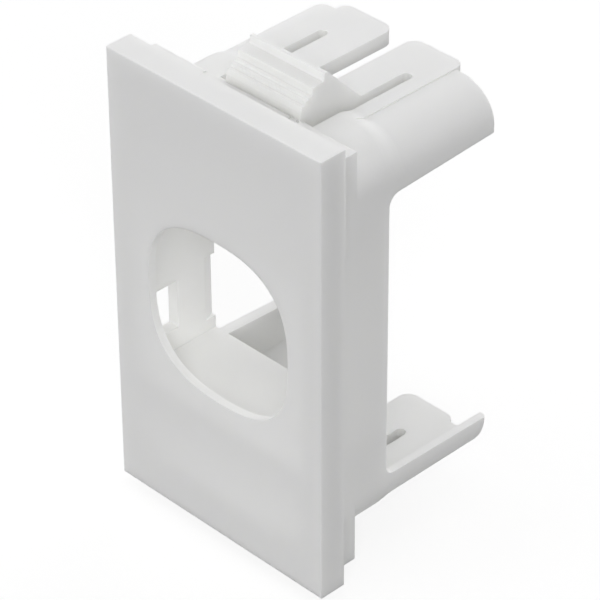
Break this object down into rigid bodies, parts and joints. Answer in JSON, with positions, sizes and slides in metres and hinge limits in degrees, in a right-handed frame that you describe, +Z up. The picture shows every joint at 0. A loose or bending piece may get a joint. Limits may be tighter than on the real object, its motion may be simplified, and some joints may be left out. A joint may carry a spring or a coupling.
{
  "type": "wall plate",
  "caption": "Snap-in wall plate with a rounded device opening, a hollow sleeve behind it, and slotted spring arms with ribbed catches above and below.",
  "frame": {"origin": "middle of the underside of the part's box: middle of its width and depth, at the level of the lower catch's edge", "axes": "+X to the right seen from the front, +Y into the wall, +Z up the face"},
  "size_m": [0.0254, 0.0228, 0.047],
  "materials": {
    "plastic": "matte"
  },
  "bodies": {
    "root": {"wall_plate": "plastic"}
  },
  "joints": []
}
